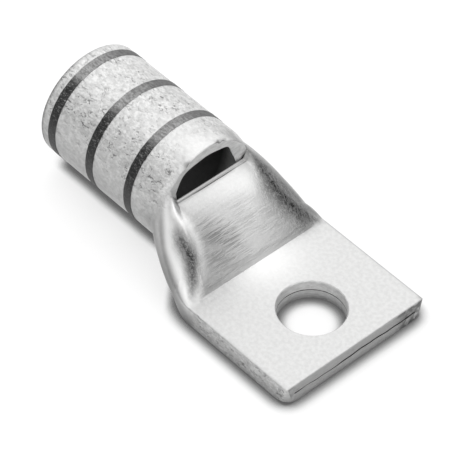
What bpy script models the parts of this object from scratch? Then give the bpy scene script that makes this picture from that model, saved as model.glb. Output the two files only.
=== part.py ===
# One-hole compression lug: a round copper tube, flattened at one end into a tongue
# with a bolt hole, and slit across its top where the round barrel ends.
# Metres, +Z up. X runs along the lug, with the barrel's open mouth at -X and the end of
# the tongue at +X, and Y runs across it. The origin lies under the lug's middle, on the
# plane that it rests on. Places along X below are measured from the mouth.

import math

import bmesh
import bpy
import numpy as np

mm = 0.001

# Driving dimensions
barrel_od = 18.7 * mm
barrel_wall = 1.6 * mm
barrel_length = 26.05 * mm
neck_length = 10.7 * mm
tongue_length = 20.5 * mm
tongue_width = 26.25 * mm
tongue_thickness = 3.56 * mm
bolt_hole_dia = 10.2 * mm
bolt_hole_to_end = 9.0 * mm

# Edges: the mouth's bevel, the tongue's rounded long edges and its sheared ones
mouth_bevel = 0.3 * mm
side_round = 0.4 * mm
edge_break = 0.14 * mm

# The tongue's two end corners: nearly sharp on top, rolled round and up underneath
corner_radius = 0.3 * mm
corner_roll = 1.3 * mm
corner_lift = 0.8 * mm
corner_lift_reach = 2.3 * mm

# The seam left between the tongue's two walls, and the hollow inside each fold
seam_gap = 0.14 * mm
fold_gap = 0.6 * mm
fold_reach = 2.4 * mm

# Inspection window: the slit's width, how far it runs past the pressed flat at each
# end, and the straight lip beyond it, pressed down below the barrel's crown
slit_width = 0.4 * mm
slit_overrun = 0.85 * mm
lip_drop = 6.0 * mm
lip_shoulder = 1.0 * mm

# Beside the slit's ends the press drew the barrel's edge down and its wall thinner
slit_sag = 0.4 * mm
slit_thinning = 0.25
slit_end_reach = 2.2 * mm

# The pressed flat keeps this far in from the lug's side, at the lip and at the bend,
# and is a little hollow between them
lip_margin = 3.15 * mm
bend_margin = 3.6 * mm
bend_shoulder = 3.3 * mm
bowl_depth = 0.35 * mm

# How far before the slit the sides start to drop and to flare, and how far before the
# bend they are done
drop_lead = 3.15 * mm
drop_tail = 0.2 * mm
flare_lead = 1.45 * mm
flare_tail = 0.25 * mm

# Ink bands round the barrel: their centres run from the mouth towards the slit
band_to_mouth = 2.45 * mm
band_to_slit = 6.74 * mm
band_width = 1.55 * mm
band_count = 3

# Exponents of the curves of the sides' drop and flare, of the pressed top, of the rolled
# corners and of the fold's hollow, which opens as the tube goes flat
drop_in_power = 1.6
drop_out_power = 1.5
flare_power = 2.1
press_power = 1.4
lift_power = 1.2
fold_power = 4

# The corners of a section shrink as the tube flattens: first in width, last in height
corner_reach = 1.8
corner_rise = 5.0

# Share of the wall by which the bore's shoulders lie outside the pressed ones
wall_lean = 0.75

# Steps of a half section, in three runs: the underside to half height, the side up to
# the shoulder and the top to the middle. Where the tube is flat, the first two runs
# have their corner between the steps named here.
under_steps = 18
under_corner = (13, 16)
side_steps = 9
side_corner = (2, 5)
top_steps = 11
shoulder_steps = 4
corner_points = 16
shoulder_angle = math.radians(45)
shoulder_step = under_steps + side_steps

# Ahead of the slit: steps over which the sides turn into the round top, and those over
# which the slit's end fades, outwards and inwards
hood_lead_steps = 2
hood_steps = 5
end_lead_steps = 1
end_steps = 3
end_tail_steps = 8

# Rings along the lug
bevel_rings = 2
drop_rings = 4
neck_rings = 16
bore_neck_rings = 10
corner_rings = 4
edge_rings = 2
hole_segments = 72

# Places along X, and sizes that follow from the ones above
barrel_radius = barrel_od / 2
half_tongue = tongue_width / 2
flat_wall = (tongue_thickness - seam_gap) / 2
lip_height = barrel_od - lip_drop
slit_x = barrel_length
lip_x = slit_x + slit_width
bend_x = slit_x + neck_length
end_x = bend_x + tongue_length
hole_x = end_x - bolt_hole_to_end
drop_start = slit_x - drop_lead
corner_start = end_x - corner_roll
middle_x = end_x / 2
band_pitch = (slit_x - band_to_slit - band_to_mouth) / (band_count - 1)


# Curves along the lug

def share(x, start, end):
    """Share of the way from start to end, held between 0 and 1."""
    return min(max((x - start) / (end - start), 0.0), 1.0)


def smooth(value):
    """Ease in and out between 0 and 1."""
    value = np.clip(value, 0.0, 1.0)
    return value * value * (3 - 2 * value)


def roundness(x):
    """1 on the round barrel, falling to 0 where the tube is flat."""
    t = share(x, drop_start, bend_x - drop_tail)
    return (1 - t ** drop_in_power) ** drop_out_power


def side_height(x):
    """Height of the rolled sides over the resting plane."""
    return tongue_thickness + (barrel_od - tongue_thickness) * roundness(x)


def half_width(x):
    """Half the width, flaring from the barrel to the tongue."""
    t = share(x, slit_x - flare_lead, bend_x - flare_tail)
    return barrel_radius + (half_tongue - barrel_radius) * (1 - (1 - t) ** flare_power)


def pressed_height(x):
    """Height of the pressed top, from the lip down to the bend."""
    t = share(x, lip_x, bend_x)
    return tongue_thickness + (lip_height - tongue_thickness) * (1 - t ** press_power)


def pressed_half_width(x):
    """Half the width of the pressed flat."""
    t = share(x, lip_x, bend_x)
    at_lip = barrel_radius - lip_margin
    at_bend = half_tongue - bend_margin
    return at_lip + (at_bend - at_lip) * t


def pressed_shoulder(x):
    """Width of the shoulder from the pressed flat up to the rolled side."""
    return lip_shoulder + (bend_shoulder - lip_shoulder) * share(x, lip_x, bend_x)


def bowl(x):
    """How deep the pressed top is hollowed along its middle."""
    return bowl_depth * math.sin(math.pi * share(x, lip_x, bend_x))


def slit_end_share(x, steps):
    """1 at the slit's ends, fading to 0 along the lug and on the steps around them."""
    along = smooth((x - slit_x) / slit_end_reach + 1) * smooth((lip_x - x) / slit_end_reach + 1)
    outwards = smooth((steps + end_lead_steps) / end_steps)
    inwards = smooth((end_tail_steps - steps) / (end_tail_steps - end_steps))
    return along * outwards * inwards


def slant(height, x):
    """How much deeper a wall measures upright than square to its sloping face."""
    step = 0.05 * mm
    return math.hypot(1, (height(x + step) - height(x - step)) / (2 * step))


# Sections across the lug

def run_points(path, corner_ends, steps, corner_steps, flatness):
    """Points along a path: evenly spaced where round, on its corner's ends where flat."""
    path = np.array(path)
    length = np.concatenate([[0.0], np.cumsum(np.hypot(*np.diff(path, axis=0).T))])
    index = np.arange(steps + 1)
    even = index / steps * length[-1]
    knots = [0.0, length[corner_ends[0]], length[corner_ends[1]], length[-1]]
    on_corner = np.interp(index, [0, *corner_steps, steps], knots)
    wanted = even * (1 - flatness) + on_corner * flatness
    return np.column_stack([np.interp(wanted, length, path[:, i]) for i in (0, 1)])


class Section:
    """Half a section at x: the outside where inset is 0, else the bore's wall."""

    def __init__(self, x, inset):
        self.x = x
        self.inset = inset
        self.round_part = roundness(x)
        self.width = half_width(x) - inset
        self.floor = 0.0
        self.roof = side_height(x)
        self.press = pressed_height(x)
        if inset:
            wall = flat_wall + (inset - flat_wall) * self.round_part
            self.floor = wall
            self.roof = max(self.roof - wall * slant(side_height, x), wall + seam_gap)
            self.press = max(self.press - wall * slant(pressed_height, x), wall + seam_gap)
        self.middle = (self.floor + self.roof) / 2
        half_height = self.roof - self.middle
        least = min(side_round, half_height)
        reach = min(1.0, corner_reach * self.round_part)
        rise = min(1.0, corner_rise * self.round_part)
        self.corner_y = least + (self.width - least) * reach
        self.corner_z = least + (half_height - least) * rise

    def top_height(self, y):
        """Height of the rolled upper side at y."""
        reach = np.clip((y - self.width + self.corner_y) / self.corner_y, 0.0, 1.0)
        return self.roof - self.corner_z * (1 - np.sqrt(1 - reach ** 2))

    def top_places(self):
        """Where the top's points lie, from the shoulder to the middle."""
        if self.x < lip_x:
            return self.width * np.sin(np.linspace(shoulder_angle, 0, top_steps + 1))
        crest = pressed_half_width(self.x) + slit_overrun - wall_lean * self.inset
        near = np.linspace(crest, crest - lip_shoulder, shoulder_steps + 1)
        far = np.linspace(crest - lip_shoulder, 0, top_steps - shoulder_steps + 1)
        return np.concatenate([near, far[1:]])

    def pressed(self, points):
        """Bring the top down to the pressed flat, with a shoulder at each side."""
        shoulder = pressed_shoulder(self.x)
        outer_edge = pressed_half_width(self.x) + wall_lean * self.inset + shoulder
        across = np.clip(points[:, 0] / outer_edge, 0.0, 1.0)
        press = self.press - bowl(self.x) * (1 - across ** 2)
        if self.inset:
            press = np.maximum(press, self.floor + seam_gap)
        blend = smooth((outer_edge - points[:, 0]) / shoulder)
        blend[points[:, 1] <= self.middle] = 0.0
        points[:, 1] += blend * (press - points[:, 1])
        return points

    def with_fold_hollow(self, points):
        """Open the seam into a hollow inside the fold, once the tube is flat."""
        half_gap = seam_gap / 2
        away = np.clip((points[:, 1] - self.middle) / half_gap, -1.0, 1.0)
        near_fold = smooth(2 * (points[:, 0] - self.width + fold_reach) / fold_reach)
        flat = (1 - self.round_part) ** fold_power
        points[:, 1] += away * near_fold * flat * (fold_gap / 2 - half_gap)
        return points

    def points(self):
        """Points from the middle of the underside round to the middle of the top."""
        turn = np.linspace(0, math.pi / 2, corner_points)
        inner_y = self.width - self.corner_y
        under = [(0.0, self.floor)]
        under += [(inner_y + self.corner_y * math.sin(a),
                   self.floor + self.corner_z * (1 - math.cos(a))) for a in turn]
        under.append((self.width, self.middle))
        top_y = self.top_places()
        side = [(self.width, self.middle)]
        side += [(y, self.top_height(y)) for y in inner_y + self.corner_y * np.cos(turn)
                 if y > top_y[0]]
        corner_end = len(side) - 1
        side.append((top_y[0], self.top_height(top_y[0])))
        flatness = 1 - self.round_part
        lower = run_points(under, (1, corner_points), under_steps, under_corner, flatness)
        upper = run_points(side, (1, corner_end), side_steps, side_corner, flatness)
        top = np.column_stack([top_y, self.top_height(top_y)])
        points = np.vstack([lower, upper[1:], top[1:]])
        if self.x >= lip_x:
            points = self.pressed(points)
        return self.with_fold_hollow(points) if self.inset else points


def half_section(x, inset):
    """Half a section's points. Ahead of the slit the top keeps the barrel's round."""
    points = Section(x, inset).points()
    steps = np.arange(len(points)) - shoulder_step
    slit_end = slit_end_share(x, steps)
    if drop_start < x < lip_x:
        hood = smooth((steps + hood_lead_steps) / hood_steps)[:, None]
        points = hood * Section(0.0, inset).points() + (1 - hood) * points
        if not inset:
            points[:, 1] -= slit_sag * slit_end
    if inset and slit_end.any():
        points += slit_thinning * slit_end[:, None] * (half_section(x, 0.0) - points)
    return points


def round_section(radius):
    """Half a section of the barrel, brought in or out to another radius."""
    points = Section(0.0, 0.0).points()
    centre = np.array([0.0, barrel_radius])
    return centre + (points - centre) * radius / barrel_radius


def tongue_end_section(x):
    """Half a section of the tongue near its end, with corners and edges broken."""
    points = half_section(x, 0.0)
    back = end_x - x
    rim = 0.0
    if back < edge_break:
        rim = edge_break - math.sqrt(edge_break ** 2 - (edge_break - back) ** 2)
    z = np.clip(points[:, 1], rim, tongue_thickness - rim)
    to_face = np.minimum(z, tongue_thickness - z)
    off_face = np.clip(edge_break - to_face, 0.0, None)
    inset = edge_break - np.sqrt(edge_break ** 2 - off_face ** 2)
    radius = corner_roll + (corner_radius - corner_roll) * z / tongue_thickness
    along = np.clip(radius - back, 0.0, None)
    turn = np.sqrt(np.clip((radius - inset) ** 2 - along ** 2, 0.0, None))
    y = np.minimum(points[:, 0], half_tongue - radius + turn)
    away = np.hypot(back, half_tongue - y) / corner_lift_reach
    lift = corner_lift * np.clip(1 - away, 0.0, 1.0) ** lift_power
    z = z + lift * np.clip(1 - 2 * z / tongue_thickness, 0.0, 1.0)
    return np.column_stack([y, z])


# Mesh of the lug

def outer_rings():
    """Rings of the outside, from the mouth to the tongue's end, as x and half section."""
    rings = []
    for i in range(bevel_rings + 1):
        turn = math.pi / 2 * i / bevel_rings
        x = mouth_bevel * (1 - math.cos(turn))
        rings.append((x, round_section(barrel_radius - mouth_bevel * (1 - math.sin(turn)))))
    places = list(np.linspace(drop_start, slit_x, drop_rings + 1))
    places += [edge for band in band_edges() for edge in band]
    places += list(np.linspace(lip_x, bend_x, neck_rings + 1))
    rings += [(x, half_section(x, 0.0)) for x in sorted(places)]
    ends = [end_x - corner_lift_reach, end_x - (corner_lift_reach + corner_roll) / 2]
    straight = corner_roll - edge_break
    ends += [corner_start + straight * math.sin(math.pi / 2 * i / corner_rings)
             for i in range(corner_rings + 1)]
    ends += [end_x - edge_break * (1 - math.sin(math.pi / 2 * i / edge_rings))
             for i in range(1, edge_rings + 1)]
    rings += [(x, tongue_end_section(x)) for x in ends]
    return rings


def bore_rings():
    """Rings of the bore, from the mouth to the seam's open end."""
    bore_radius = barrel_radius - barrel_wall
    rings = []
    for i in range(bevel_rings + 1):
        turn = math.pi / 2 * i / bevel_rings
        x = mouth_bevel * (1 - math.cos(turn))
        rings.append((x, round_section(bore_radius + mouth_bevel * (1 - math.sin(turn)))))
    places = list(np.linspace(drop_start, slit_x, drop_rings + 1))
    places += list(np.linspace(lip_x, bend_x, bore_neck_rings + 1))
    places.append(end_x)
    rings += [(x, half_section(x, barrel_wall)) for x in places]
    return rings


def band_edges():
    """Start and end of each ink band along X."""
    centres = [band_to_mouth + band_pitch * i for i in range(band_count)]
    return [(x - band_width / 2, x + band_width / 2) for x in centres]


def in_band(x):
    """Whether x lies on an ink band."""
    return any(start < x < end for start, end in band_edges())


def add_ring(mesh, x, half):
    """A closed ring of vertices: half a section and its mirror image."""
    left = [(-y, z) for y, z in half[-2:0:-1]]
    return [mesh.verts.new((x, y, z)) for y, z in [*half, *left]]


def bridge(mesh, first, second, steps, material=0):
    """Faces between two rings, on the steps given."""
    count = len(first)
    for i in steps:
        j = (i + 1) % count
        face = mesh.faces.new((first[i], first[j], second[j], second[i]))
        face.material_index = material


def build_skin(mesh, rings, window_steps, banded):
    """Bridge rings one after the other, leaving the slit open beyond slit_x."""
    skin = [(x, add_ring(mesh, x, half)) for x, half in rings]
    every_step = range(len(skin[0][1]))
    for (x, ring), (next_x, next_ring) in zip(skin, skin[1:]):
        steps = every_step
        if x == slit_x:
            steps = [i for i in every_step if i not in window_steps]
        inked = banded and in_band((x + next_x) / 2)
        bridge(mesh, ring, next_ring, steps, int(inked))
    return dict(skin), skin


def close_window(mesh, outer, bore, window_steps):
    """Walls of the slit: its two long sides and its two ends."""
    for x in (slit_x, lip_x):
        bridge(mesh, outer[x], bore[x], window_steps)
    for i in (window_steps[0], window_steps[-1] + 1):
        mesh.faces.new((outer[slit_x][i], outer[lip_x][i], bore[lip_x][i], bore[slit_x][i]))


def make_body():
    """The lug without its bolt hole, as one closed mesh."""
    mesh = bmesh.new()
    half_steps = shoulder_step + top_steps
    window_steps = range(shoulder_step, 2 * half_steps - shoulder_step)
    outer, outer_skin = build_skin(mesh, outer_rings(), window_steps, banded=True)
    bore, bore_skin = build_skin(mesh, bore_rings(), window_steps, banded=False)
    close_window(mesh, outer, bore, window_steps)
    every_step = range(2 * half_steps)
    for end in (0, -1):
        bridge(mesh, outer_skin[end][1], bore_skin[end][1], every_step)
    bmesh.ops.recalc_face_normals(mesh, faces=mesh.faces)
    data = bpy.data.meshes.new("lug_body")
    mesh.to_mesh(data)
    mesh.free()
    body = bpy.data.objects.new("lug_body", data)
    body.location = (-middle_x, 0.0, 0.0)
    bpy.context.collection.objects.link(body)
    return body


# Bolt hole

def make_hole_cutter():
    """A turned cutter through both walls, opening out by the edge break at each face."""
    radius = bolt_hole_dia / 2
    over = 1 * mm
    wide = radius + edge_break + over
    profile = [(wide, -over), (radius, edge_break),
               (radius, tongue_thickness - edge_break), (wide, tongue_thickness + over)]
    mesh = bmesh.new()
    rings = []
    for r, z in profile:
        turns = [2 * math.pi * i / hole_segments for i in range(hole_segments)]
        rings.append([mesh.verts.new((r * math.cos(a), r * math.sin(a), z)) for a in turns])
    for lower, upper in zip(rings, rings[1:]):
        bridge(mesh, lower, upper, range(hole_segments))
    mesh.faces.new(rings[0])
    mesh.faces.new(rings[-1])
    bmesh.ops.recalc_face_normals(mesh, faces=mesh.faces)
    data = bpy.data.meshes.new("bolt_hole_cutter")
    mesh.to_mesh(data)
    mesh.free()
    cutter = bpy.data.objects.new("bolt_hole_cutter", data)
    cutter.location = (hole_x - middle_x, 0.0, 0.0)
    cutter.hide_render = True
    cutter.display_type = "WIRE"
    bpy.context.collection.objects.link(cutter)
    return cutter


def cut_hole(body, cutter):
    """Cut the bolt hole with an exact Boolean."""
    cut = body.modifiers.new("bolt_hole", "BOOLEAN")
    cut.operation = "DIFFERENCE"
    cut.solver = "EXACT"
    cut.object = cutter


# Materials

def make_material(name, colour, metallic, roughness):
    """A Principled BSDF material."""
    material = bpy.data.materials.new(name)
    material.use_nodes = True
    shader = material.node_tree.nodes["Principled BSDF"]
    shader.inputs["Base Color"].default_value = (*colour, 1.0)
    shader.inputs["Metallic"].default_value = metallic
    shader.inputs["Roughness"].default_value = roughness
    return material


for old in list(bpy.data.objects):
    bpy.data.objects.remove(old)

lug_body = make_body()
lug_body.data.materials.append(make_material("tin_plate", (0.62, 0.62, 0.61), 0.9, 0.38))
lug_body.data.materials.append(make_material("band_ink", (0.05, 0.05, 0.05), 0.0, 0.6))
cut_hole(lug_body, make_hole_cutter())
lug_body.data.shade_smooth()
lug_body.data.set_sharp_from_angle(angle=math.radians(32))
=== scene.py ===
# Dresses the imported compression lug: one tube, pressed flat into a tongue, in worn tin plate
# with painted highlights and painted shade
import math

import bpy
import numpy as np
from mathutils import Matrix, Vector


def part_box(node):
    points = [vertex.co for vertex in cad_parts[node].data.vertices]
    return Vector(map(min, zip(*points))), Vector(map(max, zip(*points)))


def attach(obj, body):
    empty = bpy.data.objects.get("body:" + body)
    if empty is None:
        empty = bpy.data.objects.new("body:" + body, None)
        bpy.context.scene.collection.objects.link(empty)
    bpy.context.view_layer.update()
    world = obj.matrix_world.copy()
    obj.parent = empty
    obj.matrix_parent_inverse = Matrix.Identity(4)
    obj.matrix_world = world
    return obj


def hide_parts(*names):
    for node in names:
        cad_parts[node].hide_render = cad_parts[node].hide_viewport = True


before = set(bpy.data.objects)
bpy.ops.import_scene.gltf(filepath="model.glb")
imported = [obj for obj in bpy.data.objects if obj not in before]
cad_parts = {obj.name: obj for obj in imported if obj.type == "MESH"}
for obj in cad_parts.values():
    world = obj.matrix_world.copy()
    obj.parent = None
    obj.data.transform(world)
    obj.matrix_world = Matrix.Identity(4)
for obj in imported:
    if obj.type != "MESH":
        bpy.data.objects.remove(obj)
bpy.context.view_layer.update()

mm = 0.001
lugLow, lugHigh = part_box("lug_body")
lugSize = (lugHigh - lugLow) / mm  # length, width and height in millimetres

# The lug's sizes in millimetres, measured along X from the mouth
lug = {
    "length": lugSize.x,
    "width": lugSize.y,
    "barrelDiameter": lugSize.z,
    "wall": 1.6,
    "slitPlace": 26.05,
    "slitWidth": 0.4,
    "slitOverrun": 0.85,
    "slitSag": 0.4,
    "slitThinning": 0.25,
    "slitEndReach": 2.2,
    # The roof's fall and the sides' flare start so far before the slit, and end so far before
    # the bend
    "fallStart": 3.15,
    "fallEnd": 0.2,
    "flareStart": 1.45,
    "flareEnd": 0.25,
    "bendPlace": 36.75,
    "tongueThickness": 3.56,
    "holeDiameter": 10.2,
    "holeToEnd": 9.0,
    "lipDrop": 6.0,
    "lipShoulder": 1.0,
    "lipMargin": 3.15,
    "bendMargin": 3.6,
    "bendShoulder": 3.3,
    "bowlDepth": 0.35,
    "seamGap": 0.14,
    "foldGap": 0.6,
    "foldReach": 2.4,
    "mouthBevel": 0.3,
    "sideRound": 0.4,
    "edgeBreak": 0.14,
    "cornerRadius": 0.3,
    "cornerRoll": 1.3,
    "cornerLift": 0.8,
    "cornerLiftReach": 2.3,
}

barrelRadius = lug["barrelDiameter"] / 2
halfTongue = lug["width"] / 2
flatWall = (lug["tongueThickness"] - lug["seamGap"]) / 2
lipHeight = lug["barrelDiameter"] - lug["lipDrop"]
slitX = lug["slitPlace"]
lipX = slitX + lug["slitWidth"]
bendX = lug["bendPlace"]
endX = lug["length"]
holeX = endX - lug["holeToEnd"]
dropStart = slitX - lug["fallStart"]
cornerStart = endX - lug["cornerRoll"]

# Powers that bend the curves along the lug, and shares that shape its sections
curve = {
    "fallPower": 1.6,
    "fallEase": 1.5,
    "flarePower": 2.1,
    "pressPower": 1.4,
    "foldPower": 4,
    "liftPower": 1.2,
    "widthRounding": 1.8,
    "heightRounding": 5.0,
    "shoulderLean": 0.75,
    "cutEdgeShare": 0.07,
}

# The plain solid's steps round half a section, the steps at which its corners lie, and the
# degrees that its top reaches round the barrel. Each fade is where it starts, counted from
# the shoulder, and how many steps it takes.
plain = {
    "underSteps": 18,
    "sideSteps": 9,
    "topSteps": 11,
    "shoulderSteps": 4,
    "underCorner": (13, 16),
    "sideCorner": (2, 5),
    "topReach": 45,
    "slitEndIn": (-1, 3),
    "slitEndOut": (8, -5),
    "hoodIn": (-2, 5),
    "cutEdgeIn": (0, 2),
}

# How finely the visible skin is divided: so many parts to each of those steps, so many rings
# or points to a rounding, and the rings' spacing in millimetres
skin = {
    "underParts": 3,
    "sideParts": 4,
    "topParts": 5,
    "cornerPoints": 40,
    "bevelRings": 4,
    "rollRings": 9,
    "holeSides": 144,
    "barrelSpacing": 0.4,
    "neckSpacing": 0.15,
    "tongueSpacing": 0.5,
    "cutMargin": 0.12,
    "lipReach": 1.2,
    "lipSpacing": 0.06,
    "boreSpacing": 0.8,
    "boreCutSpacing": 0.3,
    "boreNeckSpacing": 0.4,
    "boreTongueSpacing": 1.2,
    "sharpAngle": 32,
}
underSteps = plain["underSteps"] * skin["underParts"]
sideSteps = plain["sideSteps"] * skin["sideParts"]
topSteps = plain["topSteps"] * skin["topParts"]
shoulderSteps = plain["shoulderSteps"] * skin["topParts"]
shoulderStep = underSteps + sideSteps
halfSteps = shoulderStep + topSteps
stepIndex = np.arange(halfSteps + 1) - shoulderStep
plainSteps = np.where(stepIndex < 0, stepIndex / skin["sideParts"], stepIndex / skin["topParts"])


# The curves along the lug

def share(x, start, end):
    return min(max((x - start) / (end - start), 0.0), 1.0)


def smooth(value):
    value = np.clip(value, 0.0, 1.0)
    return value * value * (3 - 2 * value)


def rise(value, start, reach):
    # From 0 at the start to 1 one reach further on, and the other way with a negative reach
    return smooth((value - start) / reach)


def roundness(x):
    t = share(x, dropStart, bendX - lug["fallEnd"])
    return (1 - t ** curve["fallPower"]) ** curve["fallEase"]


def sideHeight(x):
    return lug["tongueThickness"] + (lug["barrelDiameter"] - lug["tongueThickness"]) * roundness(x)


def halfWidth(x):
    t = share(x, slitX - lug["flareStart"], bendX - lug["flareEnd"])
    return barrelRadius + (halfTongue - barrelRadius) * (1 - (1 - t) ** curve["flarePower"])


def pressedHeight(x):
    fall = 1 - share(x, lipX, bendX) ** curve["pressPower"]
    return lug["tongueThickness"] + (lipHeight - lug["tongueThickness"]) * fall


def pressedHalfWidth(x):
    atLip = barrelRadius - lug["lipMargin"]
    atBend = halfTongue - lug["bendMargin"]
    return atLip + (atBend - atLip) * share(x, lipX, bendX)


def pressedShoulder(x):
    return lug["lipShoulder"] + (lug["bendShoulder"] - lug["lipShoulder"]) * share(x, lipX, bendX)


def bowl(x):
    return lug["bowlDepth"] * math.sin(math.pi * share(x, lipX, bendX))


def slitEndShare(x):
    reach = lug["slitEndReach"]
    along = smooth((x - slitX) / reach + 1) * smooth((lipX - x) / reach + 1)
    return along * rise(plainSteps, *plain["slitEndIn"]) * rise(plainSteps, *plain["slitEndOut"])


def slant(height, x):
    # How much taller a sloping wall measures upright than through its thickness
    step = 0.05
    return math.hypot(1, (height(x + step) - height(x - step)) / (2 * step))


# Sections across the lug: half of each, from the middle of the underside round to the middle
# of the top

def runPoints(path, cornerEnds, steps, cornerSteps, flatness):
    # Even steps along a path, drawn towards its corner as the section flattens
    path = np.array(path)
    length = np.concatenate([[0.0], np.cumsum(np.hypot(*np.diff(path, axis=0).T))])
    index = np.arange(steps + 1)
    knots = [0.0, length[cornerEnds[0]], length[cornerEnds[1]], length[-1]]
    onCorner = np.interp(index, [0, *cornerSteps, steps], knots)
    wanted = index / steps * length[-1] * (1 - flatness) + onCorner * flatness
    return np.column_stack([np.interp(wanted, length, path[:, i]) for i in (0, 1)])


def plainSection(x, inset):
    # The section without the hood over the slit: the outside with no inset, else the bore
    roundPart = roundness(x)
    width = halfWidth(x) - inset
    floor, roof, press = 0.0, sideHeight(x), pressedHeight(x)
    if inset:
        floor = flatWall + (inset - flatWall) * roundPart
        roof = max(roof - floor * slant(sideHeight, x), floor + lug["seamGap"])
        press = max(press - floor * slant(pressedHeight, x), floor + lug["seamGap"])
    middle = (floor + roof) / 2
    least = min(lug["sideRound"], roof - middle)
    cornerY = least + (width - least) * min(1.0, curve["widthRounding"] * roundPart)
    cornerZ = least + (roof - middle - least) * min(1.0, curve["heightRounding"] * roundPart)

    def topHeight(y):
        reach = np.clip((y - width + cornerY) / cornerY, 0.0, 1.0)
        return roof - cornerZ * (1 - np.sqrt(1 - reach ** 2))

    if x < lipX:
        topY = width * np.sin(np.linspace(math.radians(plain["topReach"]), 0, topSteps + 1))
    else:
        crest = pressedHalfWidth(x) + lug["slitOverrun"] - curve["shoulderLean"] * inset
        near = np.linspace(crest, crest - lug["lipShoulder"], shoulderSteps + 1)
        far = np.linspace(crest - lug["lipShoulder"], 0, topSteps - shoulderSteps + 1)
        topY = np.concatenate([near, far[1:]])
    turn = np.linspace(0, math.pi / 2, skin["cornerPoints"])
    innerY = width - cornerY
    under = [(0.0, floor)]
    under += [(innerY + cornerY * math.sin(a), floor + cornerZ * (1 - math.cos(a))) for a in turn]
    underEnd = len(under) - 1
    under.append((width, middle))
    side = [(width, middle)]
    side += [(y, topHeight(y)) for y in innerY + cornerY * np.cos(turn) if y > topY[0]]
    sideEnd = len(side) - 1
    side.append((topY[0], topHeight(topY[0])))
    flatness = 1 - roundPart
    underCorner = [step * skin["underParts"] for step in plain["underCorner"]]
    sideCorner = [step * skin["sideParts"] for step in plain["sideCorner"]]
    lower = runPoints(under, (1, underEnd), underSteps, underCorner, flatness)
    upper = runPoints(side, (1, sideEnd), sideSteps, sideCorner, flatness)
    top = np.column_stack([topY, topHeight(topY)])
    points = np.vstack([lower, upper[1:], top[1:]])
    if x >= lipX:
        shoulder = pressedShoulder(x)
        outerEdge = pressedHalfWidth(x) + curve["shoulderLean"] * inset + shoulder
        across = np.clip(points[:, 0] / outerEdge, 0.0, 1.0)
        pressed = press - bowl(x) * (1 - across ** 2)
        if inset:
            pressed = np.maximum(pressed, floor + lug["seamGap"])
        blend = smooth((outerEdge - points[:, 0]) / shoulder)
        blend[points[:, 1] <= middle] = 0.0
        points[:, 1] += blend * (pressed - points[:, 1])
    if inset:
        halfGap = lug["seamGap"] / 2
        away = np.clip((points[:, 1] - middle) / halfGap, -1.0, 1.0)
        nearFold = smooth(2 * (points[:, 0] - width + lug["foldReach"]) / lug["foldReach"])
        opening = lug["foldGap"] / 2 - halfGap
        points[:, 1] += away * nearFold * flatness ** curve["foldPower"] * opening
    return points


def halfSection(x, inset):
    # The section with the barrel's hood, sagged and thinned at the slit's ends
    points = plainSection(x, inset)
    slitEnd = slitEndShare(x)
    if dropStart < x < lipX:
        hood = rise(plainSteps, *plain["hoodIn"])[:, None]
        points = hood * plainSection(0.0, inset) + (1 - hood) * points
        if not inset:
            points[:, 1] -= lug["slitSag"] * slitEnd
    if inset and slitEnd.any():
        points += lug["slitThinning"] * slitEnd[:, None] * (halfSection(x, 0.0) - points)
    return points


def roundSection(radius):
    points = plainSection(0.0, 0.0)
    centre = np.array([0.0, barrelRadius])
    return centre + (points - centre) * radius / barrelRadius


def tongueEndSection(x):
    # The section near the tongue's end, with its edges broken and its corners rolled and lifted
    points = halfSection(x, 0.0)
    edge, thickness = lug["edgeBreak"], lug["tongueThickness"]
    back = endX - x
    rim = edge - math.sqrt(edge ** 2 - (edge - back) ** 2) if back < edge else 0.0
    z = np.clip(points[:, 1], rim, thickness - rim)
    offFace = np.clip(edge - np.minimum(z, thickness - z), 0.0, None)
    inset = edge - np.sqrt(edge ** 2 - offFace ** 2)
    radius = lug["cornerRoll"] + (lug["cornerRadius"] - lug["cornerRoll"]) * z / thickness
    along = np.clip(radius - back, 0.0, None)
    turn = np.sqrt(np.clip((radius - inset) ** 2 - along ** 2, 0.0, None))
    y = np.minimum(points[:, 0], halfTongue - radius + turn)
    away = np.hypot(back, halfTongue - y) / lug["cornerLiftReach"]
    lift = lug["cornerLift"] * np.clip(1 - away, 0.0, 1.0) ** curve["liftPower"]
    z = z + lift * np.clip(1 - 2 * z / thickness, 0.0, 1.0)
    return np.column_stack([y, z])


# The skin: rings from the mouth to the tongue's end, outside and in the bore

def spaced(start, end, spacing):
    return np.linspace(start, end, int(round((end - start) / spacing)) + 1)


def cutEdgeSection():
    # The barrel's end at the slit, with its sheared outer edge broken
    outer, inner = halfSection(slitX, 0.0), halfSection(slitX, lug["wall"])
    broken = rise(plainSteps, *plain["cutEdgeIn"])[:, None]
    return outer + curve["cutEdgeShare"] * broken * (inner - outer)


def quarterTurns(count, first=0):
    return [math.pi / 2 * i / count for i in range(first, count + 1)]


def mouthRings(radius, side):
    # The mouth's rounded edge: side is -1 outside, where it narrows, and 1 in the bore
    bevel = lug["mouthBevel"]
    rings = []
    for turn in quarterTurns(skin["bevelRings"]):
        section = roundSection(radius + side * bevel * (1 - math.sin(turn)))
        rings.append((bevel * (1 - math.cos(turn)), section))
    return rings


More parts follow.
